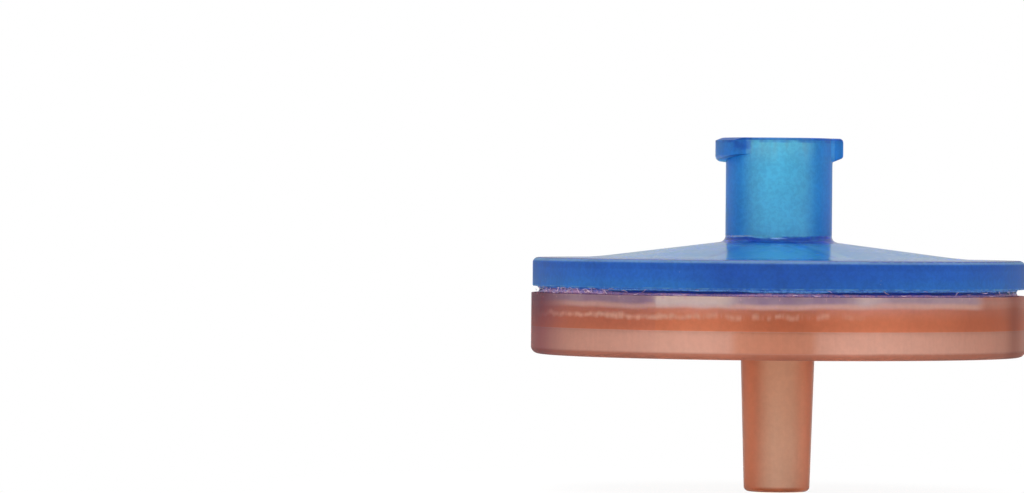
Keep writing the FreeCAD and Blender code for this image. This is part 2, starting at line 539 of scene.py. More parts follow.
shadeAndCreaseBlue = (0.02, 0.15, 0.62)
paleBlue = (0.65, 0.95, 1.0)
channelBlue = (0.2, 0.85, 1.0)
channelHalf = 0.44  # mm, half the width of a feed channel under the roof
blueLook = {
    **plastic,
    # colours, whose fourth number is how strongly they cover what lies below
    "inside": (1.0, 1.0, 1.0, 1),
    "rim": (0.055, 0.42, 1.0, 1),
    "rimLow": (0.065, 0.5, 1.0, 1),
    "underEdge": (0.03, 0.2, 0.7, 0.33),
    # painted shade for the rim's wall
    "rimPaintedShade": (0.02, 0.19, 0.68, 1),
    # painted highlight along the rim's lower edge, broken by streaks
    "lowerEdgeHighlight": (0.3, 0.85, 1.0, 1),
    "grooveShade": (0.03, 0.1, 0.36, 1),  # painted shade deep in the weld groove
    # painted highlight along the rim's top edge
    "rimTopHighlight": (0.5, 0.95, 1.0, 0.7),
    "roof": (0.05, 0.44, 0.95, 1),
    "roofOverChamber": (0.075, 0.61, 1.0, 1),
    "rib": (*channelBlue, 0.2),
    "channelEdge": (0.03, 0.3, 0.75, 1),
    "dash": (0.03, 0.25, 0.65, 1),
    "channel": (*channelBlue, 0.7),
    "seatGlow": (0.14, 0.85, 1.0, 0.5),
    "roofOverWeld": (0.26, 0.31, 0.54, 0.9),
    "roofOverFlash": (0.16, 0.13, 0.2, 1),
    "mouldLine": (*paleBlue, 0.35),
    "hubSides": (0.05, 0.58, 0.86, 1),
    "hubGlowThrough": (0.3, 1.0, 0.98, 1),  # painted glow of light through the front and back of the hub, where the socket makes the wall thin
    # painted glow of light at the mouth, in runs
    "mouth": (0.48, 0.84, 0.72, 0.7),
    "lugs": (0.045, 0.52, 0.85, 1),
    # painted glow of light under the lug
    "lugUnderGlow": (0.55, 1.0, 1.0, 1),
    "socket": (0.2, 1.0, 0.98, 1),
    "hubTop": (0.04, 0.5, 1.0, 1),
    "fillet": (*shadeAndCreaseBlue, 1),
    "foot": (*shadeAndCreaseBlue, 1),
    "torn": (*shadeAndCreaseBlue, 0.9),
    # painted highlight over the crease on the left
    "footHighlight": (0.8, 1.0, 1.0, 0.9),
    "lip": (*shadeAndCreaseBlue, 0.75),
    "curl": (*shadeAndCreaseBlue, 1),
    "pit": (0.06, 0.12, 0.25, 0.85),
    "dust": (*paleBlue, 0.5),
    # zones, in mm and degrees
    "clampRing": [("height", 11.0, 11.7, 0.1), ("radius", 10, 13.25, 0.1)],
    "outerPart": [("radius", 11.4, 16, 0.3)],
    "wall": [("radius", 14.6, 16, 0.1)],
    "lowHalf": [("height", 12.3, 13.0, 0.5)],
    "highPart": [("height", 13.6, 13.98, 0.15)],
    "lowCorner": [("radius", 14.7, 16, 0.1), ("height", 12.3, 12.53, 0.06)],
    "tongueFace": [("radius", 14.3, 14.62, 0.04), ("height", 11.9, 12.47, 0.06)],
    "topCorner": [("height", 14.0, 14.3, 0.1), ("radius", 14.83, 16, 0.06)],
    "roofTop": [("height", 14.1, 15.6, 0.1), ("radius", 3.0, 14.9, 0.2)],
    "chamber": [("radius", 0, 11.0, 0.3)],
    "channelRing": [("radius", 10.4, 11.05, 0.2)],
    "alongX": [("y", -channelHalf, channelHalf, 0.12)],
    "alongY": [("x", -channelHalf, channelHalf, 0.12)],
    "besideX": [("y", -channelHalf - 0.2, -channelHalf - 0.02, 0.1)],
    "besideY": [("x", -channelHalf - 0.2, -channelHalf - 0.02, 0.1)],
    "channelLength": [("radius", 3.6, 11, 0.2)],
    "diagonal": [("offDiagonal", -1, 0.35, 0.15)],
    "seat": [("radius", 12.8, 13.5, 0.6)],
    "flash": [("wavyRadius", 13.5, 14.0, 0.4)],
    "parting": [("x", -0.03, 0.03, 0.03)],
    "hub": [("height", 15.3, 30, 0.3), ("radius", 2.6, 8, 0.2)],
    "middle": [("across", -1.95, 1.95, 1.1)],
    "mouthBand": [("height", 20.3, 30, 1.4), ("across", -1.9, 1.8, 1.0)],
    "lugReach": [("radius", 3.42, 8, 0.1)],
    "lugUnderside": [("height", 19.8, 20.42, 0.22), ("radius", 3.4, 8, 0.1), ("across", -8, -2.7, 0.4)],
    "socketWall": [("height", 12.3, 30, 0.3), ("radius", -1, 2.3, 0.3)],
    "aroundFoot": [("radius", 3.0, 3.95, 0.1)],
    "filletBand": [("wavyHeight", 15.0, 15.5, 0.08)],
    "creaseBand": [("fromCrease", -0.14, 0.07, 0.06)],
    "creaseWidth": [("across", -3.1, 3.3, 0.3)],
    "tornBand": [("wavyHeight", 15.33, 15.58, 0.08), ("across", 0.2, 3.0, 0.3)],
    "arcBand": [("fromCrease", 0.09, 0.18, 0.05), ("across", -3.1, -1.6, 0.8), ("turn", -100, 0, 5)],
    "lipWall": [("radius", 2.3, 8, 0.1)],
    "curlBand": [("across", -2.75, -1.75, 0.3), ("wavyHeight", 20.8, 21.35, 0.15), ("radius", 3.2, 8, 0.1),
                 ("turn", -90, 0, 5)],
    "pitted": [("radius", 7.5, 14.6, 2.0)],
    # smooth changes
    "ribsBegin": [("radius", 4.5, 6.0)],
    "channelsBegin": [("radius", 3.9, 4.2)],
    "dashesBegin": [("radius", 5.0, 6.5)],
    "dashTone": [("ribs", 0.0, 0.6)],
    "ribTone": [("ribSum", -0.4, 1.2)],
    "weldBegins": [("radius", 13.1, 13.8)],
    "partingBegins": [("radius", 3.4, 3.6)],
    "topBegins": [("height", 21.47, 21.53)],
    "topInner": [("radius", 2.1, 2.2)],
    "creaseHeight": [("across", -1.9, 0.4, 15.45, 15.2)],  # it runs down to the right
    "lipLine": [("height", 21.35, 21.43)],
    "nicked": [("height", 21.2, 21.3)],
    # clouds: size in mm, the noise that gives 0 and 1, seed
    "waves": (1.3, 0.2, 0.8, 7),
    "breaks": (0.9, 0.35, 0.55, 11),
    "nicks": (1.6, 0.35, 0.6, 17),
    "broadClouds": (2.2, 0.3, 0.7, 3),
    "fineClouds": (0.24, 0.36, 0.64, 4),
    # streaks: width and length in mm, then the same
    "lowerEdgeHighlightBreaks": (0.6, 60, 0.4, 0.62, 12),
    "mouthRuns": (0.55, 3.0, 0.35, 0.65, 14),
    "drawn": (0.5, 6, 0.2, 0.8, 6),
    # specks: spacing and size in mm, share of the places filled, seed
    "pits": (0.7, 0.24, 0.26, 2),
    "dustSpecks": (0.55, 0.07, 0.12, 9),
    "grain": (0.3, 1.0, 1),  # fineness in mm, depth, seed
    "rimPaintedShadeShare": 0.68,
    "ribPitch": 0.6,  # mm
    "fineRibs": 0.4,
    "ringShare": 0.5,
    "radiusWave": 0.15,
    "heightWave": 0.05,
    "mottle": 0.4,
    "mottleDark": (0.2, 0.25, 0.3, 1),
    # the plastic and its skin
    "clear": 0.8,
    "shineTint": (0.45, 0.65, 0.92, 1),
    "dye": (0.1, 0.65, 0.98, 1),
    "roofRoughness": 0.17,
    "hubRoughness": 0.45,
    "pitRoughness": 0.5,
    "drawnHeight": 0.6,
    "pitDepth": 6.0,
    "creaseDepth": 3.0,
}
# painted shade round the rim: how much darker its colour is painted at each turn, most at the front
rimShadeMarks = [(-180, 0.75), (-150, 0.3), (-125, 0.7), (-100, 0.3), (-70, 0.15), (-52, 0.0), (-24, 0.0), (-12, 0.95),
            (0, 1.0), (14, 0.85), (32, 0.3), (66, 0.3), (82, 0.75), (95, 0.7), (120, 0.3), (150, 0.85), (180, 0.75)]


def blueRim(at, look, wall):
    # the wall of the disc with its two edges, and the face of the tongue: painted shade round the wall, painted
    # highlights on both edges, painted shade on the tongue's face
    outside = times(zone(at, "outerPart"), less(1.0, zone(at, "clampRing")))
    broken = between(streaks(at, "lowerEdgeHighlightBreaks"), 0.15, 0.75)
    return layered(at, look["inside"], [
        ("rim", outside),
        ("rimLow", wall, zone(at, "lowHalf")),
        ("underEdge", wall, zone(at, "highPart")),
        ("rimPaintedShade", wall, times(marks(at["turn"], rimShadeMarks), look["rimPaintedShadeShare"])),
        ("lowerEdgeHighlight", zone(at, "lowCorner"), broken),
        ("grooveShade", zone(at, "tongueFace")),
    ])


def blueRoof(at, look, waves):
    # the chamber's ribs and channels show through the roof, and so does the weld
    radius, x, y = at["radius"], at["x"], at["y"]
    chamber = zone(at, "chamber")
    at["ribs"] = calc("SINE", times(radius, math.tau / look["ribPitch"]))
    broadRibs = calc("SINE", times(radius, math.pi / look["ribPitch"]))
    at["ribSum"] = plus(broadRibs, times(at["ribs"], look["fineRibs"]))
    at["offDiagonal"] = calc("ABSOLUTE", less(calc("ABSOLUTE", x), calc("ABSOLUTE", y)))
    at["wavyRadius"] = wavering(radius, waves, look["radiusWave"])
    ring = times(zone(at, "channelRing"), look["ringShare"])
    channels = larger(zone(at, "alongY"), zone(at, "alongX"), ring)
    channels = times(channels, ramp(at, "channelsBegin"))
    sides = larger(zone(at, "besideY"), zone(at, "besideX"))
    dashes = times(zone(at, "diagonal"), ramp(at, "dashTone"), ramp(at, "dashesBegin"))
    return layered(at, look["roof"], [
        ("roofOverChamber", chamber),
        ("rib", ramp(at, "ribTone"), chamber, ramp(at, "ribsBegin")),
        ("channelEdge", chamber, sides, zone(at, "channelLength")),
        ("dash", chamber, dashes),
        ("channel", chamber, channels),
        ("seatGlow", zone(at, "seat")),
        ("roofOverWeld", ramp(at, "weldBegins")),
        ("roofOverFlash", zone(at, "flash"), between(waves, 0.3, 0.7)),
        ("mouldLine", zone(at, "parting"), ramp(at, "partingBegins")),
    ])


def blueHub(at, look):
    # painted glow through the thin wall at the front and back, full plastic at the sides and lugs, a paler painted
    # glow at the mouth and a painted glow under the lug
    runs = between(streaks(at, "mouthRuns"), 0.35, 1.0)
    return layered(at, look["hubSides"], [
        ("hubGlowThrough", litThroughGlow(at)),
        ("mouth", zone(at, "mouthBand"), runs),
        ("lugs", zone(at, "lugReach")),
        ("lugUnderGlow", zone(at, "lugUnderside")),
    ])


def findCrease(at, waves):
    # where the hub's foot is, and the crease in it
    at["wavyHeight"] = wavering(at["height"], waves, at["look"]["heightWave"])
    at["fromCrease"] = less(at["wavyHeight"], ramp(at, "creaseHeight"))
    around = zone(at, "aroundFoot")
    crease = times(zone(at, "creaseBand"), around, zone(at, "creaseWidth"))
    return around, crease


def blueFoot(at, around, crease):
    # the crease at the hub's foot, partly its own dark line and partly painted shade, with a painted highlight arc
    # over it; the nicked lip of the mouth with a line of painted shade under its edge; and a dark arc of painted shade
    # at the left lug
    breaks = cloud(at, "breaks")
    ragged = times(ramp(at, "nicked"), cloud(at, "nicks"))
    lip = times(larger(ramp(at, "lipLine"), ragged), zone(at, "lipWall"))
    return [
        ("fillet", zone(at, "filletBand"), around, between(breaks, 0.6, 0.9)),
        ("foot", crease, between(breaks, 0.8, 1.0)),
        ("torn", zone(at, "tornBand"), around, between(breaks, 0.35, 1.0)),
        ("footHighlight", zone(at, "arcBand"), around),
        ("lip", lip),
        ("curl", zone(at, "curlBand"), between(breaks, 0.15, 0.5)),
    ]


def blueMaterial(look):
    material, tree = newTree("bluePolypropylene")
    at = findWhere(tree, look)
    at["x"], at["y"], _ = split(tree, objectPoint(tree))
    waves = cloud(at, "waves")
    wall, roof = zone(at, "wall"), zone(at, "roofTop")
    around, crease = findCrease(at, waves)
    colour = blend(roof, blueRim(at, look, wall), blueRoof(at, look, waves))
    # painted highlight along the rim's top edge
    colour = layered(at, colour, [("rimTopHighlight", zone(at, "topCorner"))])
    colour = blend(zone(at, "hub"), colour, blueHub(at, look))
    hubTop = times(ramp(at, "topBegins"), ramp(at, "topInner"))
    layers = [("socket", zone(at, "socketWall")), ("hubTop", hubTop)]
    colour = layered(at, colour, layers + blueFoot(at, around, crease))

    # clouds in the melt, dark pits in the roof and fine pale dust
    tone = meltTone(at)
    colour = mottled(look["mottle"], colour, tone, look["mottleDark"])
    pits = times(roof, zone(at, "pitted"), specks(at, "pits"))
    colour = layered(at, colour, [("pit", pits), ("dust", specks(at, "dustSpecks"))])

    roughness = mixValue(roof, look["hubRoughness"], look["roofRoughness"])
    roughness = wavering(mixValue(wall, roughness, look["wallRoughness"]), tone, look["cloudRoughness"])
    roughness = plus(roughness, times(pits, look["pitRoughness"]))
    drawn = times(streaks(at, "drawn"), look["drawnHeight"])
    surface = plus(pattern(tree, grainGroup, look["grain"]), drawn)
    surface = less(surface, times(pits, look["pitDepth"]))
    surface = less(surface, times(crease, look["creaseDepth"]))
    plasticSurface(tree, look, colour, roughness, surface)
    return material


# orange outlet half

orangeLook = {
    **plastic,
    # colours, as above
    "inside": (1.0, 0.92, 0.88, 1),
    "deep": (0.97, 0.31, 0.15, 1),  # solid plastic under the membrane's seat
    "deepHigh": (0.98, 0.38, 0.25, 1),  # the same beside the seat
    "skirt": (0.79, 0.43, 0.33, 1),  # the hollow skirt, lit through
    # painted shade where the tube stands behind the skirt
    "tubeShadeInSkirt": (0.72, 0.31, 0.195, 1),
    "skirtEdge": (0.6, 0.23, 0.155, 1),
    "under": (1.0, 0.5, 0.27, 1),
    "weldGlow": (1.0, 0.66, 0.54, 1),  # the lighter line below the weld
    "weldPale": (1.0, 0.83, 0.73, 1),  # where the lip stands clear of the blue tongue
    "weldFused": (0.34, 0.23, 0.42, 1),  # where it has run together with the blue
    "purple": (0.3, 0.11, 0.2, 0.85),  # blue showing through beside the tear
    "fleck": (0.95, 0.6, 0.66, 0.6),
    "seatMark": (1.0, 0.6, 0.45, 0.8),
    "dust": (1.0, 0.6, 0.45, 0.5),
    "tubeSides": (0.78, 0.25, 0.12, 1),
    # painted glow of light through the tube's thin wall, paler towards the tip
    "tubeGlowThrough": (1.0, 0.63, 0.42, 1),
    "tubeTipGlow": (1.0, 0.72, 0.53, 1),
    # tints that darken what lies below: painted shade for the band and its sides, then darker clouds and streaks in
    # the melt
    "bandShadeTint": (0.66, 0.56, 0.5, 1),
    "leftShade": (0.52, 0.22, 0.38, 1),
    "rightShade": (0.45, 0.27, 0.24, 1),
    "mottleDark": (0.3, 0.27, 0.25, 1),
    "streakDark": (0.3, 0.3, 0.3, 1),
    # zones, in mm and degrees
    "wall": [("radius", 14.3, 16, 0.1)],
    "solidBand": [("height", 9.99, 13, 0.07)],
    "skirtBand": [("height", 8.7, 9.99, 0.07)],
    "skirtFoot": [("height", 8.0, 8.72, 0.12)],
    "overTube": [("across", -2.6, 2.2, 0.8)],
    "glowBand": [("weldHeight", 11.36, 11.74, 0.26)],
    "fleckBand": [("weldHeight", 11.86, 12.1, 0.1)],
    "cleanWeld": [("turn", 53, 92, 5)],
    "seatBand": [("seatHeight", 10.73, 10.98, 0.26)],
    "underside": [("height", 9.8, 10.06, 0.03), ("radius", 1.8, 13.8, 0.1)],
    "tube": [("radius", 1.5, 3.2, 0.3), ("height", -1, 9.9, 0.2)],
    "tubeEnd": [("height", -1, 0.28, 0.2)],
    "middle": [("across", -1.05, 1.35, 1.2)],
    # smooth changes
    "besideSeat": [("height", 10.5, 11.5)],
    "bandShadeByHeight": [("height", 9.8, 10.1, 0.5, 1.0)],
    "glowByTurn": [("turn", -66, -50, 0.65, 1.0)],
    "weldLowest": [("fused", 0, 0.6, 11.28, 11.52)],
    "weldFade": [("fused", 0, 0.6, 0.42, 0.26)],
    "hazeHeight": [("height", 9.2, 11.7, 0.3, 1.0)],
    "hazeFades": [("turn", -74, -52, 1.0, 0.2)],
    "hazeEnds": [("turn", -28.8, -28.3, 1.0, 0.0)],
    "hazeBegins": [("turn", -112, -74)],
    "dashesFrom": [("turn", -22, -14)],
    "leftShadeAt": [("turn", -110, -74), ("turn", -74, -55, 0.82, 0.0)],
    "rightShadeAt": [("turn", 62, 70.5, 0.0, 0.7), ("turn", 69.5, 88, 1.0, 0.0)],
    "towardsTip": [("height", 0.5, 8.0, 1.0, 0.0)],
    # clouds, streaks, specks and grain, as above
    "waves": (1.6, 0.2, 0.8, 21),
    "longWaves": (6.0, 0.2, 0.8, 27),
    "seatWander": (0.9, 0.2, 0.8, 26),
    "broadClouds": (2.6, 0.3, 0.7, 23),
    "fineClouds": (0.3, 0.3, 0.7, 24),
    "drawn": (0.3, 4, 0.3, 0.7, 22),
    "fleckStreaks": (0.24, 0.45, 0.6, 0.67, 28),
    "dashes": (0.5, 60, 0.38, 0.6, 25),
    "dustSpecks": (0.6, 0.07, 0.1, 29),
    "grain": (0.3, 1.0, 5),
    "drawnShare": 0.06,
    "heightWave": 0.06,
    "weldWave": 0.1,
    "glowShare": (0.85, 0.75),  # where the weld is open and where it has fused
    "weldShare": 0.92,
    "cleanLost": 0.75,
    "mottle": 0.2,
    # the plastic and its skin
    "clear": 0.7,
    "shineTint": (0.95, 0.7, 0.55, 1),
    "dye": (0.98, 0.9, 0.87, 1),
    "tubeRoughness": 0.45,
    "drawnHeight": 0.5,
}
# how far the lip has fused with the blue round the weld
fusedPatches = [(-180, 0.6), (-150, 0.15), (-128, 0.9), (-104, 0.35), (-84, 0.7), (-60, 0.8), (-40, 1.0), (-28.6, 0.9),
                (-28.2, 0.05), (-12, 0.0), (-8, 0.85), (9, 1.0), (16, 0.85), (19, 0.25), (22, 0.35), (27, 0.8),
                (50, 0.75), (57, 0.35), (74, 0.6), (92, 0.15), (112, 0.85), (131, 0.3), (150, 0.95), (166, 0.2),
                (180, 0.6)]
# painted shade round the band: how much darker the orange is painted at each turn, most at the front
bandShadeMarks = [(-180, 0.6), (-150, 0.2), (-125, 0.8), (-100, 0.4), (-68, 0.35), (-56, 0.75), (-40, 0.72), (-33, 0.6),
             (-27, 0.3), (-21, 0.03), (-16, 0.0), (-10, 0.4), (-5, 0.85), (0, 1.0), (6, 0.88), (11, 0.54),
             (16.6, 0.12), (28, 0.12), (34, 0.35), (41, 0.5), (49, 0.85), (58, 1.0), (80, 0.7), (100, 0.3),
             (125, 0.8), (150, 0.3), (180, 0.6)]
# how strong the pale marks of the membrane's seat are
seatMarks = [(-180, 0.0), (-76, 0.0), (-66, 0.5), (-45, 1.0), (-18, 0.95), (-16, 0.5), (-12, 0.85), (-7, 0.6),
             (0, 0.75), (6, 0.5), (12, 0.6), (18, 0.3), (21, 0.0), (98, 0.0), (104, 0.6), (150, 0.7), (166, 0.2),
             (180, 0.0)]


def orangeWall(at, look, wall, drawn):
    # solid band, and below it the hollow skirt, with painted shade round them
    deep = blend(ramp(at, "besideSeat"), look["deep"], look["deepHigh"])
    colour = blend(times(wall, zone(at, "solidBand")), look["inside"], deep)
    # painted shade where the tube stands behind the skirt
    skirt = layered(at, look["skirt"], [("tubeShadeInSkirt", zone(at, "overTube"))])
    skirt = mottled(look["drawnShare"], skirt, drawn, look["streakDark"])
    colour = blend(times(wall, zone(at, "skirtBand")), colour, skirt)
    colour = layered(at, colour, [("skirtEdge", wall, zone(at, "skirtFoot"))])
    # painted shade, darkest at the front and in stretches round the band, half as strong on the skirt
    depth = times(marks(at["turn"], bandShadeMarks), ramp(at, "bandShadeByHeight"))
    return shaded(times(wall, depth), colour, look["bandShadeTint"])


def orangeWeld(at, look, wall, waves, colour):
    # the weld under the lip: a lighter line, then fused purple patches and pale gaps
    fused = at["fused"] = marks(at["turn"], fusedPatches)
    at["weldHeight"] = wavering(at["height"], cloud(at, "longWaves"), look["weldWave"])
    kept = less(1.0, times(zone(at, "cleanWeld"), look["cleanLost"]))
    glowing = times(mixValue(fused, *look["glowShare"]), ramp(at, "glowByTurn"), kept)
    glow = times(times(wall, zone(at, "glowBand")), glowing)
    lowest = ramp(at, "weldLowest")
    weld = spread(at["weldHeight"], lowest, plus(ramp(at, "weldFade"), lowest))
    weld = times(wall, weld, kept, look["weldShare"])
    patches = times(fused, between(waves, 0.75, 1.0))
    haze = times(wall, *[ramp(at, name) for name in ("hazeHeight", "hazeFades", "hazeEnds", "hazeBegins")])
    flecks = times(wall, zone(at, "fleckBand"), streaks(at, "fleckStreaks"))
    colour = layered(at, colour, [("weldGlow", glow)])
    colour = blend(weld, colour, blend(patches, look["weldPale"], look["weldFused"]))
    return layered(at, colour, [("purple", haze), ("fleck", flecks)])


def seatLine(at, look, waves):
    # the broken pale line of the membrane's seat
    dashes = streaks(at, "dashes")
    broken = mixValue(ramp(at, "dashesFrom"), between(dashes, 0.55, 1.0), dashes)
    height = wavering(at["height"], waves, look["heightWave"])
    at["seatHeight"] = wavering(height, cloud(at, "seatWander"), look["heightWave"])
    return times(zone(at, "seatBand"), broken, marks(at["turn"], seatMarks))


def orangeTube(at, look):
    # painted glow of light through the thin wall at the front and back, paler towards the tip
    middle = blend(ramp(at, "towardsTip"), look["tubeGlowThrough"], look["tubeTipGlow"])
    colour = blend(litThroughGlow(at), look["tubeSides"], middle)
    return layered(at, colour, [("tubeSides", zone(at, "tubeEnd"))])


def orangeMaterial(look):
    material, tree = newTree("orangePolypropylene")
    at = findWhere(tree, look)
    waves = cloud(at, "waves")
    drawn = streaks(at, "drawn")
    wall = zone(at, "wall")
    colour = orangeWeld(at, look, wall, waves, orangeWall(at, look, wall, drawn))
    colour = layered(at, colour, [("seatMark", wall, seatLine(at, look, waves))])

    # the sides, where the eye looks along the wall, are duller
    for tint in ("leftShade", "rightShade"):
        colour = shaded(times(wall, ramp(at, tint + "At")), colour, look[tint])
    colour = layered(at, colour, [("under", zone(at, "underside"))])
    colour = blend(zone(at, "tube"), colour, orangeTube(at, look))

    tone = meltTone(at)
    colour = mottled(look["mottle"], colour, tone, look["mottleDark"])
    colour = layered(at, colour, [("dust", specks(at, "dustSpecks"))])
    roughness = wavering(mixValue(wall, look["tubeRoughness"], look["wallRoughness"]), tone,
                         look["cloudRoughness"])
    surface = plus(pattern(tree, grainGroup, look["grain"]), times(drawn, look["drawnHeight"]))
    plasticSurface(tree, look, colour, roughness, surface)
    return material


# melt squeezed out of the weld

weldLook = {
    "sections": 1200,  # round the ring
    "inner": 14.44,  # mm from the axis, just inside the blue tongue's face
    "reach": 14.62,  # how far out the beads come,
    "reachAtTear": 14.8,  # and where the melt tore
    "upperPast": 0.03,  # how much farther the upper one comes
    "groove": 0.40,  # mm between the orange lip and the blue rim
    "sunk": 0.02,  # how far a bead starts inside the plastic
    "lowerRise": 0.18,
    "upperDrop": 0.13,
    "leastRise": 0.06,
    "leastDrop": 0.04,
    "lowerClosing": 0.11,  # how much farther they come where they meet
    "upperClosing": 0.1,
    "tearRise": 0.14,
    "corners": [(0.02, 0.45), (-0.03, 0.85)],  # mm past its reach, and share of its rise
    "innerShare": 0.97,
    # ripples: size in mm, how many round the ring, seed
    "lowerRipples": [(0.035, 55, 1), (0.035, 210, 2), (0.02, 520, 3)],
    "tearRipple": (0.05, 130, 4),
    "lowerReach": [(0.06, 70, 5), (0.05, 260, 6)],
    "upperRipples": [(0.02, 45, 11), (0.025, 230, 12), (0.012, 520, 13)],
    "upperReach": [(0.05, 60, 14), (0.05, 240, 15)],
    "tear": (-77, -42, 3),  # degrees from the front, where the groove is full, and its soft ends
    "clean": (68, 112, 8),  # and where hardly any melt came out
    "reachLost": 0.12,
    "blotches": (0.3, 0.38, 0.62, 31),
    "paleClouds": (0.1, 0.5, 0.7, 32),
    "paleShare": 0.6,
    "wrinkles": (0.08, 1.0, 33),
    "roughness": (0.35, 0.55),
    "ior": 1.49,
    "bumpStrength": 0.35,
    "bumpDepth": 0.02,
}
threadLook = {
    "count": 90,
    "seed": 41,
    "inTear": 0.4,  # share of them
    "tear": (-73, -43),  # degrees from the front
    "at": (14.72, 14.93),  # mm from the axis
    "within": (14.66, 14.95),
    "clear": (0.05, 0.03),  # mm from the orange lip and from the blue rim
    "lean": 0.8,  # radians, as the next two
    "bend": 0.25,
    "kink": 0.3,
    "steps": (6, 13),
    "step": 0.07,  # mm
    "drift": 0.02,
    "thick": 0.026,
    "thickness": (0.6, 1.1),
    "end": 0.35,  # how thick its ends are beside its middle
    "sides": 5,
}
# where the beads close the dark gap between them, in degrees from the front
closedPlaces = [(-180, 0.3), (-160, 0.9), (-141, 0.1), (-118, 0.6), (-100, 0.0), (-43, 0.5), (-36, 0.15), (-25, 0.1),
                (-18, 0.0), (-10, 0.1), (-3, 0.75), (8, 0.8), (13, 0.3), (30, 0.0), (64, 0.1), (75, 0.6), (100, 0.1),
                (128, 0.7), (149, 0.1), (180, 0.3)]
rippleStep = 7.3  # how far apart in the noise two seeds are
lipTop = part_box("outlet_housing")[1][2] / mm


def roundAxis(turn, radius, height):
    return Vector((math.cos(turn) * radius, math.sin(turn) * radius, height))


def ripple(turn, size, waves, seed):
    # even round the ring: about so many waves, up to size either way
    return size * noise.noise(roundAxis(turn, waves / (2 * math.pi), seed * rippleStep))


def ripples(turn, several):
    return sum(ripple(turn, *one) for one in several)


def alongStops(value, stops):
    for (low, first), (high, second) in zip(stops, stops[1:]):
        if low <= value <= high:
            return first + (second - first) * (value - low) / (high - low)
    return stops[-1][1]


def shareWithin(degrees, limits):
    low, high, edge = limits
    return max(0.0, min(1.0, (degrees - low) / edge, (high - degrees) / edge))


def ringPoint(degrees, radius, height):
    return roundAxis(math.radians(degrees + frontTurn), radius, height) * mm


def addPiece(name, build, look, material):
    mesh = bpy.data.meshes.new(name)
    shape = bmesh.new()
    build(shape, look)
    bmesh.ops.recalc_face_normals(shape, faces=shape.faces)
    for face in shape.faces:
        face.smooth = True
    shape.to_mesh(mesh)
    shape.free()
    mesh.materials.append(material)
    piece = bpy.data.objects.new(name, mesh)
    bpy.context.scene.collection.objects.link(piece)
    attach(piece, "root")
    return piece


def joinRings(shape, rings):
    # a skin from each ring of points to the next
    for first, second in zip(rings, rings[1:]):
        for corner in range(len(first)):
            after = (corner + 1) % len(first)
            shape.faces.new((first[corner], first[after], second[after], second[corner]))


def beadCorners(look, reach, base, rise):
    # radius and height of a bead's corners in one section
    inner = look["inner"]
    outer = [(reach + past, base + share * rise) for past, share in look["corners"]]
    return [(inner, base), (reach, base), *outer, ((inner + reach) / 2, base + rise),
            (inner, base + look["innerShare"] * rise)]


def beadReach(degrees, look, reach):
    return max(look["inner"] + look["sunk"], reach - look["reachLost"] * shareWithin(degrees, look["clean"]))


def lowerSection(degrees, look):
    turn, torn = math.radians(degrees), shareWithin(degrees, look["tear"])
    rise = look["lowerRise"] + alongStops(degrees, closedPlaces) * look["lowerClosing"]
    rise += ripples(turn, look["lowerRipples"]) + torn * (look["tearRise"] + ripple(turn, *look["tearRipple"]))
    rise = max(look["leastRise"], min(look["groove"], rise))
    reach = look["reach"] + torn * (look["reachAtTear"] - look["reach"]) + ripples(turn, look["lowerReach"])
    return beadCorners(look, beadReach(degrees, look, reach), lipTop - look["sunk"], rise)


def upperSection(degrees, look):
    turn = math.radians(degrees)
    drop = look["upperDrop"] + alongStops(degrees, closedPlaces) * look["upperClosing"]
    drop = max(look["leastDrop"], drop + ripples(turn, look["upperRipples"]))
    reach = look["reach"] + look["upperPast"] + ripples(turn, look["upperReach"])
    corners = beadCorners(look, beadReach(degrees, look, reach), lipTop + look["groove"] + look["sunk"], -drop)
    return corners[:1] + corners[:0:-1]  # the other way round, as it hangs


def beadBuilder(sectionAt):
    # a closed ring, one ragged section after another
    def build(shape, look):
        rings = []
        for step in range(look["sections"]):
            degrees = -180 + 360 * step / look["sections"]
            rings.append([shape.verts.new(ringPoint(degrees, *corner)) for corner in sectionAt(degrees, look)])
        joinRings(shape, rings + rings[:1])
    return build


def buildThreads(shape, look):
    # fine curled threads of melt, most of them at the tear
    random.seed(look["seed"])
    lowest, highest = lipTop + look["clear"][0], lipTop + weldLook["groove"] - look["clear"][1]
    nearest, farthest = look["within"]
    lean, bending, kink, drift, stride = [look[name] for name in ("lean", "bend", "kink", "drift", "step")]
    for count in range(look["count"]):
        reach = look["tear"] if count < look["count"] * look["inTear"] else fullTurn
        degrees = random.uniform(*reach)
        radius = random.uniform(*look["at"])
        height = random.uniform(lowest, highest)
        heading = random.choice([0, math.pi]) + random.uniform(-lean, lean)
        bend = random.uniform(-bending, bending)
        thick = look["thick"] * random.uniform(*look["thickness"])
        path = []
        for step in range(random.randint(*look["steps"])):
            path.append(ringPoint(degrees, radius, height))
            heading += bend + random.uniform(-kink, kink)
            degrees += math.degrees(math.cos(heading) * stride / radius)
            height = max(lowest, min(highest, height + math.sin(heading) * stride))
            radius = max(nearest, min(farthest, radius + random.uniform(-drift, drift)))
        addThread(shape, look, path, thick * mm)


def addThread(shape, look, path, thick):
    rings = []
    for spot, point in enumerate(path):
        along = (path[min(spot + 1, len(path) - 1)] - path[max(spot - 1, 0)]).normalized()
        outward = Vector((point.x, point.y, 0)).normalized()
        side = along.cross(outward).normalized()
        outward = side.cross(along)
        wide = thick * (look["end"] + (1 - look["end"]) * math.sin(math.pi * (spot / (len(path) - 1))))
        rings.append([shape.verts.new(point + (side * math.cos(turn) + outward * math.sin(turn)) * wide)
                      for turn in (math.tau * k / look["sides"] for k in range(look["sides"]))])
    joinRings(shape, rings)
    shape.faces.new(rings[0])
    shape.faces.new(rings[-1])


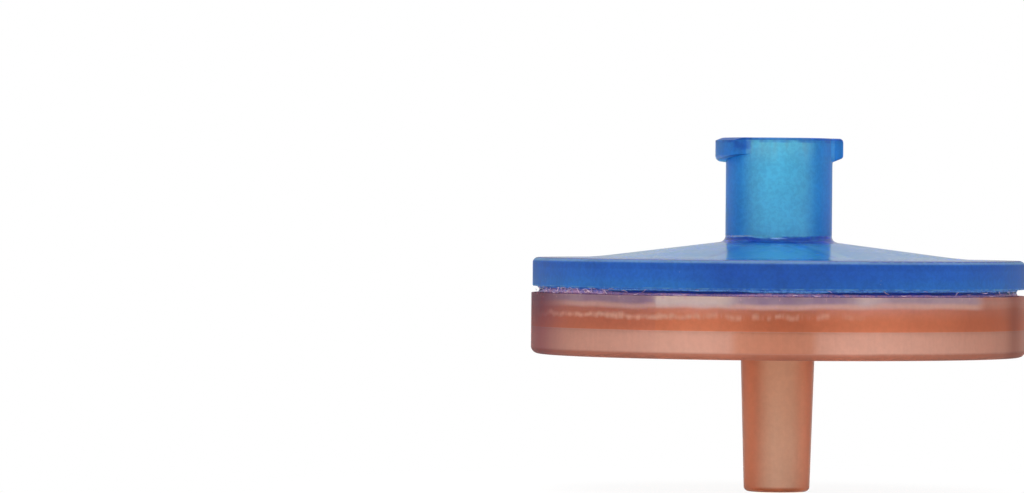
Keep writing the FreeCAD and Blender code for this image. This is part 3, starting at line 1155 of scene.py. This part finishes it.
def wrinkledSurface(tree, look, wrinkles, **inputs):
    bump = feed(tree, add(tree, "Bump"), Strength=look["bumpStrength"], Distance=look["bumpDepth"] * mm,
                Height=pattern(tree, grainGroup, wrinkles))
    shader = feed(tree, add(tree, "BsdfPrincipled"), Normal=bump.outputs[0], **inputs)
    finishTree(tree, "Material", Surface=shader.outputs[0])


def meltMaterial(name, look, first, second, pale):
    # melt that set in the open: mottled, wrinkled and a little shiny
    material, tree = newTree(name)
    blotches = pattern(tree, cloudGroup, look["blotches"])
    paleShare = times(pattern(tree, cloudGroup, look["paleClouds"]), look["paleShare"])
    colour = blend(paleShare, blend(blotches, first, second), pale)
    wrinkledSurface(tree, look, look["wrinkles"], Base_Color=colour,
                    Roughness=between(blotches, *look["roughness"]), IOR=look["ior"])
    return material


pinkMelt = meltMaterial("pinkMelt", weldLook, paint(108, 92, 150), paint(150, 110, 148), paint(188, 152, 178))
blueMelt = meltMaterial("blueMelt", weldLook, paint(48, 98, 178), paint(80, 140, 205), paint(120, 180, 225))
paleMelt = meltMaterial("paleMelt", weldLook, paint(175, 150, 180), paint(200, 165, 185), paint(225, 210, 220))
addPiece("weldBeadLower", beadBuilder(lowerSection), weldLook, pinkMelt)
addPiece("weldBeadUpper", beadBuilder(upperSection), weldLook, blueMelt)
addPiece("weldThreads", buildThreads, threadLook, paleMelt)
print("weld melt added")


# membrane: the white filter sheet clamped between the halves, seen through the blue

membraneLook = {
    "radius": 13.19,  # mm
    "clampFrom": 11.0,  # the blue ring presses it from here outwards
    "looseOver": 0.6,  # mm over which its waves fade before the ring
    "pressed": 0.012,  # how much thinner it is there, on each side
    "waves": 0.03,  # how far it rises where it lies loose
    "waveScale": 0.4,
    "waveSlice": 3.0,  # where the noise is cut
    "rings": 46,
    "around": 180,
    "colour": paint(240, 240, 236),
    "shade": paint(214, 216, 214),
    "pressedColour": paint(228, 229, 224),
    "pores": (0.12, 0.35, 0.65, 51),
    "felt": (1.4, 0.3, 0.7, 52),
    "wrinkles": (0.06, 1.0, 53),
    "poreShare": 0.5,
    "feltShare": 0.25,
    "pressedShare": 0.6,
    "pressedOver": 0.2,  # mm
    "roughness": 0.75,
    "pressedGloss": 0.2,
    "bumpStrength": 0.4,
    "bumpDepth": 0.01,
}


def buildMembrane(shape, look):
    low, high = [corner[2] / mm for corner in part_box("filter_membrane")]
    edges = []
    for height in (low + look["pressed"], high - look["pressed"]):
        rings = []
        for ring in range(1, look["rings"] + 1):
            radius = look["radius"] * ring / look["rings"]
            loose = max(0.0, min(1.0, (look["clampFrom"] - radius) / look["looseOver"]))
            row = []
            for step in range(look["around"]):
                turn = math.tau * step / look["around"]
                wave = noise.noise(roundAxis(turn, radius, look["waveSlice"]) * look["waveScale"])
                lift = look["waves"] * loose * (0.5 + 0.5 * wave)
                row.append(shape.verts.new(ringPoint(math.degrees(turn), radius, height + lift)))
            rings.append(row)
        middle = shape.verts.new(ringPoint(0, 0, height + look["waves"] / 2))
        for step in range(look["around"]):
            after = (step + 1) % look["around"]
            shape.faces.new((middle, rings[0][step], rings[0][after]))
            for inner, outer in zip(rings, rings[1:]):
                shape.faces.new((inner[step], outer[step], outer[after], inner[after]))
        edges.append(rings[-1])
    joinRings(shape, edges)


def membraneMaterial(look):
    material, tree = newTree("whiteMembrane")
    pores, felt = [times(pattern(tree, cloudGroup, look[name]), look[share])
                   for name, share in (("pores", "poreShare"), ("felt", "feltShare"))]
    colour = blend(pores, look["colour"], look["shade"])
    colour = blend(felt, colour, look["shade"])
    pressedFrom = look["clampFrom"]
    squeezed = spread(place(tree, whereGroup)["Radius"], pressedFrom, pressedFrom + look["pressedOver"])
    colour = blend(times(squeezed, look["pressedShare"]), colour, look["pressedColour"])
    roughness = less(look["roughness"], times(squeezed, look["pressedGloss"]))
    wrinkledSurface(tree, look, look["wrinkles"], Base_Color=colour, Roughness=roughness)
    return material


def finishNode(node, material):
    for slot in node.material_slots:
        slot.material = material


finishNode(nodes["inlet_housing"], blueMaterial(blueLook))
finishNode(nodes["outlet_housing"], orangeMaterial(orangeLook))
sheet = addPiece("membraneSheet", buildMembrane, membraneLook, membraneMaterial(membraneLook))
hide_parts("filter_membrane")
print("plastics finished")
